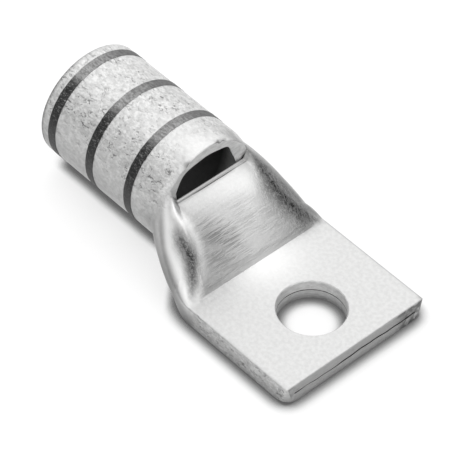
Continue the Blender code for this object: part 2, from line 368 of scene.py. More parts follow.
def outerRings():
    rings = mouthRings(barrelRadius, -1)
    stops = list(spaced(lug["mouthBevel"], dropStart, skin["barrelSpacing"])[1:])
    stops += list(spaced(dropStart, slitX - skin["cutMargin"], skin["neckSpacing"])[1:])
    rings += [(x, halfSection(x, 0.0)) for x in stops]
    rings.append((slitX, cutEdgeSection()))
    stops = list(lipX + np.arange(0, skin["lipReach"], skin["lipSpacing"]))
    stops += list(spaced(lipX + skin["lipReach"], bendX, skin["neckSpacing"]))
    rings += [(x, halfSection(x, 0.0)) for x in stops]
    edge = lug["edgeBreak"]
    roll = lug["cornerRoll"] - edge
    stops = list(spaced(bendX, cornerStart, skin["tongueSpacing"])[1:])
    stops += [cornerStart + roll * math.sin(turn) for turn in quarterTurns(skin["rollRings"], 1)]
    stops += [endX - edge * (1 - math.sin(turn)) for turn in quarterTurns(skin["bevelRings"], 1)]
    rings += [(x, tongueEndSection(x)) for x in stops]
    return rings


def boreRings():
    rings = mouthRings(barrelRadius - lug["wall"], 1)
    stops = list(spaced(lug["mouthBevel"], dropStart, skin["boreSpacing"])[1:])
    stops += list(spaced(dropStart, slitX, skin["boreCutSpacing"])[1:])
    stops += list(spaced(lipX, bendX, skin["boreNeckSpacing"]))
    stops += list(spaced(bendX, endX, skin["boreTongueSpacing"])[1:])
    rings += [(x, halfSection(x, lug["wall"])) for x in stops]
    return rings


# The zones of the skin, which are also the places of their materials
outsideZone, boreZone, cutZone = 0, 1, 2


def buildBody():
    # Also gives each point's way round from the top's middle, in millimetres: plus on +Y's
    # side, minus on the other
    points, faces, zones, sides, arcs = [], [], [], [], []

    def addRing(x, half, zone):
        first = len(points)
        points.extend((x, y, z) for y, z in half)
        points.extend((x, -y, z) for y, z in half[-2:0:-1])
        sides.extend([zone] * (len(points) - first))
        run = np.concatenate([[0.0], np.cumsum(np.hypot(*np.diff(half, axis=0).T))])
        fromTop = run[-1] - run
        arcs.extend(fromTop)
        arcs.extend(-fromTop[-2:0:-1])
        return list(range(first, len(points)))

    def bridge(one, two, steps, zone):
        for i in steps:
            j = (i + 1) % len(one)
            faces.append((one[i], one[j], two[j], two[i]))
            zones.append(zone)

    windowSteps = range(shoulderStep, 2 * halfSteps - shoulderStep)
    allSteps = range(2 * halfSteps)
    skins = []
    for rings, zone in ((outerRings(), outsideZone), (boreRings(), boreZone)):
        laid = [(x, addRing(x, half, zone)) for x, half in rings]
        for (x, ring), (nextX, nextRing) in zip(laid, laid[1:]):
            steps = [i for i in allSteps if i not in windowSteps] if x == slitX else allSteps
            bridge(ring, nextRing, steps, zone)
        skins.append(laid)
    outer, bore = dict(skins[0]), dict(skins[1])
    for x in (slitX, lipX):
        bridge(outer[x], bore[x], windowSteps, cutZone)
    for i in (windowSteps[0], windowSteps[-1] + 1):
        faces.append((outer[slitX][i], outer[lipX][i], bore[lipX][i], bore[slitX][i]))
        zones.append(cutZone)
    bridge(skins[0][0][1], skins[1][0][1], allSteps, cutZone)
    bridge(skins[0][-1][1], skins[1][-1][1], allSteps, cutZone)
    return np.array(points), faces, zones, np.array(sides), np.array(arcs)


# Marks that the press and the shears left, in millimetres. A pair is a fade: where it starts
# and how far on it is whole, with a negative reach where it runs the other way.
marks = {
    # Nicks in the slit's cut edge: place, radius and depth
    "cutNicks": (
        ((26.05, -4.15, 17.75), 0.75, 0.30),
        ((26.05, 2.30, 18.40), 0.60, 0.30),
        ((26.05, 3.70, 17.95), 0.75, 0.22),
        ((26.05, -7.20, 15.30), 0.60, 0.15),
    ),
    # The wall gathered inside the slit's right end
    "gatheredWall": 0.9,
    "gatheredFromSlit": (-1.6, 1.5),
    "gatheredToLip": (0.9, -0.8),
    "gatheredSide": (3.2, 2.6),
    "gatheredAboveAxis": (1.0, 2.0),
    # The pressed lip, and the groove behind it, which is shallower on the left
    "lipLeastHeight": 2.0,
    "lipSide": (7.6, -0.6),
    "lipRound": 0.12,
    "grooveFromLip": 0.46,
    "grooveWidth": 0.15,
    "grooveDepth": 0.13,
    "grooveLeftShare": 0.45,
    "grooveToRight": (-4.5, 3),
    # The seam: the hollows at its folds, as shares of the solid's, its open part, and its
    # waves, each a strength, radians to a millimetre and a shift
    "seamFromBend": (8, 8),
    "hollowOnRight": 0.5,
    "hollowOnLeft": 0.35,
    "hollowSide": (8.3, 1.2),
    "seamOpen": 0.07,
    "openFromLeft": (-5.0, 3),
    "openToRight": (11.0, -1.5),
    "openToEnd": (-2.0, 1.5),
    "seamWave": 0.10,
    "seamWaves": ((1.0, 0.5, 0.7), (0.4, 1.9, 0.0)),
}


def markBody(points, sides):
    # Moves the skin's points where the marks lie
    x, y, z = points.T
    outside, inBore = sides == outsideZone, sides == boreZone
    for place, radius, depth in marks["cutNicks"]:
        near = 1 - np.sum((points - place) ** 2, axis=1) / radius ** 2
        dent = depth * np.clip(near, 0, 1) ** 2 * outside
        toAxis = np.column_stack([y, z - barrelRadius])
        toAxis /= np.linalg.norm(toAxis, axis=1, keepdims=True) + 1e-9
        points[:, 1:] -= dent[:, None] * toAxis
    gathered = inBore * rise(x - slitX, *marks["gatheredFromSlit"])
    gathered = gathered * rise(x - lipX, *marks["gatheredToLip"]) * rise(y, *marks["gatheredSide"])
    gathered = gathered * rise(z - barrelRadius, *marks["gatheredAboveAxis"])
    points[:, 1] -= marks["gatheredWall"] * gathered
    onPress = outside & (x >= lipX) & (x < bendX) & (z > marks["lipLeastHeight"])
    lip = np.where(onPress, 1.0, 0.0) * rise(np.abs(y), *marks["lipSide"])
    edge = np.clip(1 - (x - lipX) / marks["lipRound"], 0, 1)
    points[:, 2] -= lip * marks["lipRound"] * (1 - np.sqrt(1 - edge ** 2))
    groove = np.exp(-((x - lipX - marks["grooveFromLip"]) / marks["grooveWidth"]) ** 2)
    least = marks["grooveLeftShare"]
    whole = least + (1 - least) * rise(y, *marks["grooveToRight"])
    points[:, 2] -= lip * marks["grooveDepth"] * groove * whole
    inTongue = inBore * rise(x - bendX, *marks["seamFromBend"])
    middle = lug["tongueThickness"] / 2
    hollow = np.where(y > 0, marks["hollowOnRight"], marks["hollowOnLeft"]) - 1
    points[:, 2] += inTongue * (z - middle) * hollow * rise(np.abs(y), *marks["hollowSide"])
    opened = rise(y, *marks["openFromLeft"]) * rise(y, *marks["openToRight"])
    opened = opened * rise(x - endX, *marks["openToEnd"])
    nearSeam = np.abs(z - middle) < lug["foldGap"] / 2
    points[:, 2] += inTongue * opened * nearSeam * np.sign(z - middle) * marks["seamOpen"]
    waves = sum(height * np.sin(often * y + shift) for height, often, shift in marks["seamWaves"])
    points[:, 2] += inTongue * marks["seamWave"] * waves
    return points


# Materials

def tint(value):
    # A grey that is very slightly warm
    return (value, value, value * 0.995, 1.0)


class Nodes:
    # A shorthand for building the nodes of a material or of the world
    def __init__(self, tree):
        self.tree = tree
        self.place = self.add("ShaderNodeTexCoord")

    def add(self, kind, **settings):
        node = self.tree.nodes.new(kind)
        for key, value in settings.items():
            setattr(node, key, value)
        return node

    def put(self, value, socket):
        if isinstance(value, bpy.types.NodeSocket):
            self.tree.links.new(value, socket)
        else:
            socket.default_value = value

    def noise(self, scale, detail, roughness=0.55, stretch=(1, 1, 1), distortion=0.0):
        mapping = self.add("ShaderNodeMapping")
        self.put(self.place.outputs["Object"], mapping.inputs["Vector"])
        self.put(stretch, mapping.inputs["Scale"])
        node = self.add("ShaderNodeTexNoise")
        self.put(mapping.outputs["Vector"], node.inputs["Vector"])
        self.put(scale, node.inputs["Scale"])
        self.put(detail, node.inputs["Detail"])
        self.put(roughness, node.inputs["Roughness"])
        self.put(distortion, node.inputs["Distortion"])
        return node.outputs["Fac"]

    def range(self, value, low, high, toLow=0.0, toHigh=1.0):
        node = self.add("ShaderNodeMapRange", interpolation_type="SMOOTHSTEP")
        self.put(value, node.inputs["Value"])
        self.put(low, node.inputs["From Min"])
        self.put(high, node.inputs["From Max"])
        self.put(toLow, node.inputs["To Min"])
        self.put(toHigh, node.inputs["To Max"])
        return node.outputs["Result"]

    def math(self, operation, one, two):
        node = self.add("ShaderNodeMath", operation=operation)
        self.put(one, node.inputs[0])
        self.put(two, node.inputs[1])
        return node.outputs["Value"]

    def times(self, *factors):
        product = factors[0]
        for factor in factors[1:]:
            product = self.math("MULTIPLY", product, factor)
        return product

    def mix(self, factor, one, two):
        node = self.add("ShaderNodeMix", data_type="RGBA")
        self.put(factor, node.inputs["Factor"])
        self.put(one, node.inputs["A"])
        self.put(two, node.inputs["B"])
        return node.outputs["Result"]

    def attribute(self, name):
        return self.add("ShaderNodeAttribute", attribute_name=name).outputs["Fac"]


class Finish(Nodes):
    # A material with a Principled shader, made from a dictionary of its values. There a
    # pattern is a noise (scale, detail, roughness, stretch, distortion) and its levels: it
    # shows from the first level to the second, as 0 to 1 or as the other two.
    def __init__(self, name, look):
        self.look = look
        self.material = bpy.data.materials.new(name)
        self.material.use_nodes = True
        super().__init__(self.material.node_tree)
        self.shader = self.tree.nodes["Principled BSDF"]

    def pattern(self, name):
        return self.noise(*self.look[name][0])

    def shown(self, name, pattern=None):
        return self.range(pattern or self.pattern(name), *self.look[name][1])

    def mottled(self, name, factor):
        return self.mix(factor, *(tint(value) for value in self.look[name]))

    def over(self, colour, factor, name):
        return self.mix(factor, colour, tint(self.look[name]))

    def sloped(self, value, name):
        # A level and how much is added to it where the value is 1
        level, more = self.look[name]
        return self.math("ADD", level, self.times(value, more))

    def surface(self, colour, metallic, roughness):
        self.put(colour, self.shader.inputs["Base Color"])
        self.put(metallic, self.shader.inputs["Metallic"])
        self.put(roughness, self.shader.inputs["Roughness"])

    def bump(self, height):
        node = self.add("ShaderNodeBump")
        self.put(self.look["bump"], node.inputs["Strength"])
        self.put(self.look["bumpDistance"], node.inputs["Distance"])
        self.put(height, node.inputs["Height"])
        self.put(node.outputs["Normal"], self.shader.inputs["Normal"])


# Outside: pitted and mottled on the barrel, smoother and scratched where the die pressed it, with
# painted highlights and painted shade
tinPlate = {
    "plateTones": (0.49, 0.55),
    "cloudTone": 0.69,
    "polishAndHighlightTone": 0.86,
    "grainTone": 0.34,
    "pitTone": 0.12,
    "paintedShadeTone": 0.20,
    "ruledTone": 0.22,
    "scratchesAndShadeTone": 0.02,
    "mottle": ((1700, 3), (0.3, 0.7)),
    "cloud": ((1200, 4, 0.6, (0.8, 1, 1), 0.6), (0.38, 0.62, 0.20, 1.0)),
    "grain": ((2700, 4, 0.7, (0.6, 1, 1), 0.6), (0.40, 0.64)),
    "pit": ((1800, 3, 0.6, (0.55, 1, 1), 1.2), (0.55, 0.63)),
    "pitPatch": ((620, 3), (0.38, 0.60)),
    "ruled": ((3300, 2, 0.6, (1.0, 0.10, 0.7), 0.3), (0.42, 0.60)),
    "scratch": ((3000, 3, 0.65, (0.22, 1.0, 0.9), 1.0), (0.38, 0.60)),
    "brushed": ((2400, 2, 0.6, (1.0, 0.14, 1.0)), None),
    # How much shows at least, and how much more where pits are painted or scratches lie
    "grainShows": (0.18, 0.36),
    "pitShows": (0.15, 0.85),
    "scratchesAndShadeShows": (0.68, 0.32),
    "pitCover": 0.85,
    "ruledCover": 0.65,
    "metallic": 0.85,
    "pressedAndBarrelRoughness": (0.30, 0.48),
    "grainRoughness": 0.08,
    "bump": 0.75,
    "bumpDistance": 0.00008,
    "pressedDepth": 0.25,
    "pitDepth": 1.2,
    "brushedDepth": 0.30,
    "scratchDepth": 0.9,
    "ruledDepth": 0.5,
}


def makeTinPlate():
    n, look = Finish("tinPlate", tinPlate), tinPlate
    barrel, pitted, polishAndHighlight = n.attribute("barrel"), n.attribute("pitted"), n.attribute("polishAndHighlight")
    paintedShade, scratchesAndShade, lines = n.attribute("paintedShade"), n.attribute("scratchesAndShade"), n.attribute("lines")
    grain, ruled, scratch = n.pattern("grain"), n.shown("ruled"), n.shown("scratch")
    grains = n.times(n.shown("grain", grain), n.sloped(pitted, "grainShows"), barrel)
    pits = n.times(n.shown("pit"), n.shown("pitPatch"), n.sloped(pitted, "pitShows"), barrel)
    colour = n.mottled("plateTones", n.shown("mottle"))
    colour = n.over(colour, n.times(barrel, n.shown("cloud")), "cloudTone")
    # Painted highlights, with the die's polish
    colour = n.over(colour, polishAndHighlight, "polishAndHighlightTone")
    colour = n.over(colour, grains, "grainTone")
    colour = n.over(colour, n.times(pits, look["pitCover"]), "pitTone")
    # Painted shade
    colour = n.over(colour, paintedShade, "paintedShadeTone")
    colour = n.over(colour, n.times(lines, ruled, look["ruledCover"]), "ruledTone")
    # Dark streaks, partly scratches and partly a painted dark reflection, and painted shade at the
    # mouth's rim and the rolled corner
    colour = n.over(colour, n.times(scratchesAndShade, n.sloped(scratch, "scratchesAndShadeShows")), "scratchesAndShadeTone")
    rough = n.range(barrel, 0.0, 1.0, *look["pressedAndBarrelRoughness"])
    rough = n.math("ADD", rough, n.times(grain, look["grainRoughness"]))
    n.surface(colour, look["metallic"], rough)
    height = n.math("SUBTRACT", grain, n.times(pits, look["pitDepth"]))
    height = n.times(height, n.range(barrel, 0.0, 1.0, look["pressedDepth"], 1.0))
    brushed = n.times(n.pattern("brushed"), n.math("SUBTRACT", 1.0, barrel), look["brushedDepth"])
    height = n.math("ADD", height, brushed)
    height = n.math("SUBTRACT", height, n.times(scratch, scratchesAndShade, look["scratchDepth"]))
    height = n.math("SUBTRACT", height, n.times(ruled, lines, look["ruledDepth"]))
    n.bump(height)
    return n.material


# The bore: rough and little metallic, in painted shade that darkens it the deeper it lies, and
# painted light near the slit and the mouth
boreTin = {
    "litTones": (0.58, 0.72),
    "paintedDeepShadeTone": 0.055,
    "mottle": ((700, 4), (0.35, 0.65)),
    "roughness": ((600, 3), (0.3, 0.7, 0.5, 0.65)),
    "relief": ((1800, 4), None),
    "metallic": 0.4,
    "bump": 0.5,
    "bumpDistance": 0.00006,
}


def makeBoreTin():
    n, look = Finish("boreTin", boreTin), boreTin
    litColour = n.mottled("litTones", n.shown("mottle"))
    # Painted light near the slit and the mouth, painted shade deeper in
    colour = n.mix(n.attribute("lit"), tint(look["paintedDeepShadeTone"]), litColour)
    n.surface(colour, look["metallic"], n.shown("roughness"))
    n.bump(n.pattern("relief"))
    return n.material


# Cut faces: the slit, the mouth, the tongue's end and the hole's wall, with painted shade and
# painted light on the last two
shearedTin = {
    "cutTones": (0.56, 0.70),
    "endTone": 0.29,
    "tearTone": 0.08,
    "cornerShadeTone": 0.06,
    "grain": ((1500, 4, 0.65, (1, 0.5, 1.5)), (0.30, 0.70)),
    "tear": ((600, 3, 0.6, (1, 0.4, 1.3)), (0.56, 0.68)),
    "cornerShade": ((1100, 4, 0.65), (0.34, 0.56)),
    # Over the end's own layer: where tears start, and how metallic it gets
    "tearOnEnd": (0.2, 0.6),
    "metallicOnEnd": (0.0, 0.9, 0.75, 0.35),
    "roughnessOfGrain": (0.2, 0.8, 0.55, 0.40),
    "endCover": 0.9,
    "tearCover": 0.6,
    "cornerShadeCover": 0.8,
    "tearDepth": 0.8,
    "bump": 0.7,
    "bumpDistance": 0.00008,
}


def makeShearedTin():
    n, look = Finish("shearedTin", shearedTin), shearedTin
    end, grain = n.attribute("end"), n.pattern("grain")
    tear = n.times(n.shown("tear"), n.range(end, *look["tearOnEnd"]))
    # Painted shade in the hollows at the end's corners, made patchy
    cornerShade = n.times(n.attribute("cornerShade"), n.shown("cornerShade"))
    colour = n.mottled("cutTones", n.shown("grain", grain))
    # The end darker, partly as sheared metal and partly as painted shade, lighter low down as
    # painted light; painted shade low on the hole's wall
    colour = n.over(colour, n.times(end, look["endCover"]), "endTone")
    colour = n.over(colour, n.times(tear, look["tearCover"]), "tearTone")
    colour = n.over(colour, n.times(cornerShade, look["cornerShadeCover"]), "cornerShadeTone")
    metallic = n.range(end, *look["metallicOnEnd"])
    n.surface(colour, metallic, n.range(grain, *look["roughnessOfGrain"]))
    n.bump(n.math("SUBTRACT", grain, n.times(tear, look["tearDepth"])))
    return n.material


# Marking ink round the barrel, rubbed and speckled, with a painted sheen that is lightest near the
# top
bandInk = {
    "inkTones": (0.0, 1.0),
    "speckTone": 0.42,
    "patch": ((2900, 4, 0.7, (0.5, 1, 1), 0.6), (0.36, 0.66, -0.42, 0.42)),
    "speck": ((5200, 4, 0.7, (0.35, 1, 1), 1.5), (0.53, 0.66)),
    "relief": ((2200, 3), None),
    "metallic": 0.2,
    "roughnessOfPatch": (-0.42, 0.42, 0.50, 0.58),
    "specular": 0.3,
    "bump": 0.6,
    "bumpDistance": 0.00005,
}


def makeBandInk():
    n, look = Finish("bandInk", bandInk), bandInk
    patch = n.shown("patch")
    # Rubbed ink, and painted sheen that lightens it near the top of the barrel
    colour = n.mottled("inkTones", n.times(n.attribute("inkWearAndSheen"), n.math("ADD", 1.0, patch)))
    colour = n.over(colour, n.times(n.shown("speck"), n.attribute("speckled")), "speckTone")
    n.surface(colour, look["metallic"], n.range(patch, *look["roughnessOfPatch"]))
    n.put(look["specular"], n.shader.inputs["Specular IOR Level"])
    n.bump(n.pattern("relief"))
    return n.material


# The lug itself

def toWorld(points):
    return [((x - endX / 2) * mm, y * mm, z * mm) for x, y, z in points]


def bakeMesh(piece):
    depsgraph = bpy.context.evaluated_depsgraph_get()
    return bpy.data.meshes.new_from_object(piece.evaluated_get(depsgraph), depsgraph=depsgraph)


def cutHole(body, materials):
    # The stud hole, with both its edges broken by a cone that reaches 1 mm past the tongue
    radius, edge, over = lug["holeDiameter"] / 2, lug["edgeBreak"], 1.0
    thickness = lug["tongueThickness"]
    wide = radius + edge + over
    profile = [(wide, -over), (radius, edge), (radius, thickness - edge), (wide, thickness + over)]
    count = skin["holeSides"]
    points, faces = [], []
    for r, z in profile:
        turns = np.arange(count) * 2 * math.pi / count
        points += [(holeX + r * math.cos(a), r * math.sin(a), z) for a in turns]
    for first in range(0, 3 * count, count):
        for i in range(count):
            here, beside = first + i, first + (i + 1) % count
            faces.append([here, beside, beside + count, here + count])
    faces.append(list(range(count))[::-1])
    faces.append(list(range(3 * count, 4 * count)))
    data = bpy.data.meshes.new("holeCutter")
    data.from_pydata(toWorld(points), [], faces)
    for material in materials:
        data.materials.append(material)
    for face in data.polygons:
        face.material_index = cutZone
    cutter = bpy.data.objects.new("holeCutter", data)
    bpy.context.scene.collection.objects.link(cutter)
    cut = body.modifiers.new("hole", "BOOLEAN")
    cut.operation, cut.solver, cut.object = "DIFFERENCE", "EXACT", cutter
    baked = bakeMesh(body)
    body.modifiers.clear()
    body.data = baked
    bpy.data.objects.remove(cutter)


# What the die and handling did to the skin, with painted highlights and painted shade, as soft
# strokes. Each stroke is a path of points: place along X, way round from the top's middle (minus
# is -Y's side), half width and strength.
wearAndPaintedLight = {
    # Painted highlights on the ridges, the hood and the pressed bowl, with the die's polish
    "polishAndHighlight": (
        ((26.6, -9.3, 0.8, 0.8), (28.3, -9.9, 0.9, 1.0), (30.0, -11.4, 0.9, 1.0),
         (33.0, -12.1, 0.9, 1.0), (36.2, -12.7, 0.8, 0.5)),
        ((27.6, -7.6, 0.8, 1.0), (30.0, -6.9, 0.8, 1.0), (32.0, -6.9, 0.7, 0.8),
         (34.2, -8.3, 0.8, 0.7), (36.0, -10.2, 0.6, 0.3)),
        ((29.0, -1.0, 4.5, 0.35), (35.8, 1.0, 5.5, 0.70)),
        ((28.4, -4.0, 1.6, 0.3), (28.8, 1.5, 2.4, 0.7), (29.4, 4.5, 2.2, 0.8)),
        ((26.6, 6.9, 0.5, 1.0), (29.0, 6.6, 0.5, 0.8)),
        ((25.0, -9.0, 0.9, 0.8), (25.3, -7.0, 0.9, 0.8)),
        ((21.5, -1.5, 2.2, 0.15), (25.2, -1.0, 2.0, 0.35)),
        ((31.0, 3.0, 2.4, 0.6), (35.0, 3.5, 2.8, 0.35)),
    ),
    # Painted shade: the neck's flanks, the barrel's low side and its top beside the slit, the
    # tongue's sides and edges, the lines behind the lip, the nicks, the pressed bowl and the bend
    "paintedShade": (
        ((22.0, -16.0, 3.5, 0.40), (27.0, -14.2, 2.0, 0.80), (30.0, -14.7, 1.9, 0.95),
         (34.0, -14.8, 1.6, 0.85), (37.0, -15.2, 1.5, 0.50)),
        ((37.0, -14.9, 1.5, 0.22), (57.0, -14.9, 1.5, 0.22)),
        ((37.0, 14.9, 1.5, 0.22), (57.0, 14.9, 1.5, 0.22)),
        ((26.6, 10.4, 1.5, 0.45), (30.0, 11.6, 1.3, 0.60), (33.0, 12.3, 1.1, 0.60),
         (36.0, 13.2, 0.8, 0.3)),
        ((32.2, -4.6, 1.6, 0.45), (33.4, -1.8, 1.6, 0.32)),
        ((34.4, -5.0, 1.6, 0.28), (35.6, -1.5, 1.4, 0.12)),
        ((36.2, -10.5, 0.40, 0.12), (36.2, 11.0, 0.40, 0.12)),
        ((26.7, -7.2, 0.40, 0.50), (27.5, -6.6, 0.35, 0.40), (28.4, -6.3, 0.30, 0.10)),
        ((27.15, -6.5, 0.25, 0.35), (27.15, 4.0, 0.25, 0.25)),
        ((23.8, 6.0, 1.6, 0.30), (26.0, 6.6, 1.7, 0.70)),
        ((26.05, -4.2, 0.45, 0.9), (26.15, -3.6, 0.4, 0.7)),
        ((26.05, 1.8, 0.4, 0.8), (26.15, 3.2, 0.5, 0.8)),
        ((26.56, -7.3, 0.13, 0.9), (26.56, 7.0, 0.13, 0.7)),
        ((26.92, -7.0, 0.14, 0.8), (26.92, 3.0, 0.14, 0.6), (26.92, 7.0, 0.12, 0.2)),
        ((0.0, -16.4, 4.0, 0.50), (24.0, -16.4, 4.0, 0.38)),
        ((37.0, 12.9, 0.14, 0.5), (56.8, 12.9, 0.14, 0.5)),
        ((37.0, -13.1, 0.14, 0.3), (56.8, -13.1, 0.14, 0.3)),
    ),
    # Dark scratchy streaks on the neck's flanks, partly die marks and partly a painted dark
    # reflection, and painted shade along the mouth's rim and on the tongue's rolled corner
    "scratchesAndShade": (
        ((29.3, -9.7, 0.8, 0.25), (30.4, -9.2, 1.2, 0.80), (32.8, -9.1, 1.2, 1.0),
         (34.5, -10.3, 1.1, 0.8), (35.8, -11.8, 0.7, 0.3)),
        ((26.8, 8.0, 0.8, 0.35), (28.8, 8.1, 1.5, 0.90), (31.0, 8.5, 2.2, 1.0),
         (33.0, 9.2, 2.3, 1.0), (34.6, 10.1, 1.9, 1.0), (36.3, 12.0, 0.8, 0.6)),
        ((0.16, -18.0, 0.24, 0.9), (0.16, -6.0, 0.24, 0.8), (0.12, 4.0, 0.2, 0.15)),
        ((57.0, 13.3, 0.6, 0.75), (57.0, 16.2, 0.6, 0.75)),
    ),
    "lines": (
        ((31.4, -5.0, 1.3, 1.0), (33.2, -1.8, 1.7, 0.9)),
        ((34.2, -5.5, 1.5, 0.6), (35.2, -1.0, 1.3, 0.4)),
        ((32.0, 1.5, 2.0, 0.35), (34.0, 5.0, 2.0, 0.30)),
        ((36.2, -10.5, 0.5, 0.3), (36.2, 11.0, 0.5, 0.3)),
    ),
    "pitted": (
        ((0.5, -7.5, 5.2, 1.0), (24.0, -8.0, 4.6, 1.0)),
        ((3.0, 1.5, 5.0, 0.85), (19.0, 3.5, 5.0, 0.95)),
        ((37.0, -14.4, 2.0, 1.0), (57.0, -14.4, 2.0, 1.0)),
        ((37.0, 14.4, 2.0, 1.0), (57.0, 14.4, 2.0, 1.0)),
    ),
}

# Where the barrel's mottling, the end's darkening with its painted shade and painted light, the
# painted shade in the end's corners and low on the hole's wall, and the painted light and shade
# in the bore begin or stop: fades like those of the marks, counted from the landmark in the name
zoneFades = {
    "barrelFromSlit": (-2.0, 4.5),
    # A stroke where the barrel is rubbed smooth before the slit, and how much it takes away
    "rubbed": (((21.0, -0.5, 3.4, 0.7), (25.5, -0.5, 3.4, 1.0)),),
    "rubbing": 0.7,
    "sideFromEdge": (-0.25, 0.2),
    "sideFromBend": (0.0, 2),
    # Painted shade low on the hole's wall, and the end's darkening, partly painted shade, with
    # less of it low down as painted light
    "lowFromFloor": (2.1, -1.6),
    "lowLevel": 0.4,
    "endFromEnd": (-0.6, 0.5),
    "endLevel": 0.88,
    "endLessLow": 0.78,
    "cornerShadeFromEnd": (-0.8, 0.5),
    "cornerShadeRight": (7.4, 2.4),
    "cornerShadeLeft": (11.4, 1.0),
    "cornerShadeLeftLevel": 0.6,
    "litFromSlit": (-5.5, 2.5),
    "litFromMiddle": (1.0, 3.0),
    "litFromBend": (0.0, -4),
    "litFromMouth": (0.0, 9),
    "litMouthLevel": 0.9,
}


def strokes(paths, x, arc):
    # How strongly the strokes cover each point, which fades like a bell across them
    field = np.zeros(len(x))
    for path in paths:
        for (x0, arc0, wide0, strong0), (x1, arc1, wide1, strong1) in zip(path, path[1:]):
            dx, dArc = x1 - x0, arc1 - arc0
            t = np.clip(((x - x0) * dx + (arc - arc0) * dArc) / (dx * dx + dArc * dArc), 0, 1)
            away = np.hypot(x - x0 - t * dx, arc - arc0 - t * dArc) / (wide0 + t * (wide1 - wide0))
            field = np.maximum(field, (strong0 + t * (strong1 - strong0)) * np.exp(-away ** 2))
    return field


def paintLayer(data, name, values):
    layer = data.attributes.new(name, "FLOAT", "POINT")
    layer.data.foreach_set("value", np.asarray(values, dtype=np.float32))


def vertexPlaces(data):
    # In millimetres, with X from the mouth
    co = np.empty(len(data.vertices) * 3)
    data.vertices.foreach_get("co", co)
    co = co.reshape(-1, 3) / mm
    return co[:, 0] + endX / 2, co[:, 1], co[:, 2]


def paintZones(data):
    # Where the skin is pitted, scratched or ruled, where highlights and shade are painted on it,
    # and where the bore has painted light and shade
    x, y, z = vertexPlaces(data)
    arc = np.empty(len(x))
    data.attributes["arc"].data.foreach_get("value", arc)
    for name, paths in wearAndPaintedLight.items():
        paintLayer(data, name, strokes(paths, x, arc))

    def fade(value, name):
        return rise(value, *zoneFades[name])

    onSide = fade(np.abs(y) - halfTongue, "sideFromEdge") * fade(x - bendX, "sideFromBend")
    rubbed = zoneFades["rubbing"] * strokes(zoneFades["rubbed"], x, arc)
    rough = (1 - fade(x - slitX, "barrelFromSlit")) * (1 - rubbed)
    paintLayer(data, "barrel", np.maximum(rough, onSide))
    # Painted shade low on the hole's wall; the end darker, partly sheared metal and partly painted
    # shade, and lighter at its bottom as painted light
    low = fade(z, "lowFromFloor") * (x > bendX)
    atEnd = fade(x - endX, "endFromEnd")
    endLevel = atEnd * (zoneFades["endLevel"] - zoneFades["endLessLow"] * low)
    paintLayer(data, "end", np.where(atEnd > 0, endLevel, zoneFades["lowLevel"] * low))
    # Painted shade in the hollows at the end's corners
    atCorner = fade(y, "cornerShadeRight") + zoneFades["cornerShadeLeftLevel"] * fade(-y, "cornerShadeLeft")
    paintLayer(data, "cornerShade", atCorner * fade(x - endX, "cornerShadeFromEnd"))
    # Painted light in the bore near the slit and the mouth
    nearSlit = fade(x - slitX, "litFromSlit") * fade(y, "litFromMiddle")
    nearSlit = nearSlit * fade(x - bendX, "litFromBend")
    nearMouth = zoneFades["litMouthLevel"] * (1 - fade(x, "litFromMouth"))
    paintLayer(data, "lit", np.maximum(nearSlit, nearMouth))


def makeLug():
    # The materials are in the order of the zones
    materials = [makeTinPlate(), makeBoreTin(), makeShearedTin()]
    points, faces, zones, sides, arcs = buildBody()
    points = markBody(points, sides)
    data = bpy.data.meshes.new("lugBody")
    data.from_pydata(toWorld(points), [], faces)
    paintLayer(data, "arc", arcs)
    for material in materials:
        data.materials.append(material)
    data.polygons.foreach_set("material_index", zones)
    body = bpy.data.objects.new("lugBody", data)
    bpy.context.scene.collection.objects.link(body)
    bpy.context.view_layer.objects.active = body
    body.select_set(True)
    bpy.ops.object.mode_set(mode="EDIT")
    bpy.ops.mesh.select_all(action="SELECT")
    bpy.ops.mesh.normals_make_consistent(inside=False)
    bpy.ops.object.mode_set(mode="OBJECT")
    cutHole(body, materials)
    paintZones(body.data)
    body.data.shade_smooth()
    body.data.set_sharp_from_angle(angle=math.radians(skin["sharpAngle"]))
    return body


# Ink bands: one thin film, repeated along the barrel by Geometry Nodes. In millimetres.
bands = {
    "count": 3,
    "first": 2.50,
    "last": 19.31,
    "width": 1.58,
    # How high the film's middle stands, and its thickness as a share of that
    "film": 0.03,
    "filmShare": 0.8,
    # The least height of its outer and inner face, where it is pressed level under the barrel
    "outerLeast": -0.002,
    "innerLeast": 0.01,
    "sides": 360,
    "ragged": 0.16,
    "raggedScale": 1100,
    "raggedDetail": 3,
    "sharpAngle": 40,
    # Round the barrel, from the top's middle and minus on -Y's side: how light the ink is, rubbed
    # and with a painted sheen lightest near the top, and how speckled
    "wayRound": (-20.0, -14.0, -11.0, -6.5, -5.2, -3.6, 0.5, 3.5, 6.5, 9.0, 20.0),
    "inkWearAndSheen": (0.04, 0.04, 0.014, 0.010, 0.045, 0.26, 0.21, 0.12, 0.09, 0.05, 0.05),
    "speckled": (0.1, 0.15, 0.45, 0.7, 0.65, 0.45, 0.3, 0.2, 0.1, 0.1, 0.1),
}


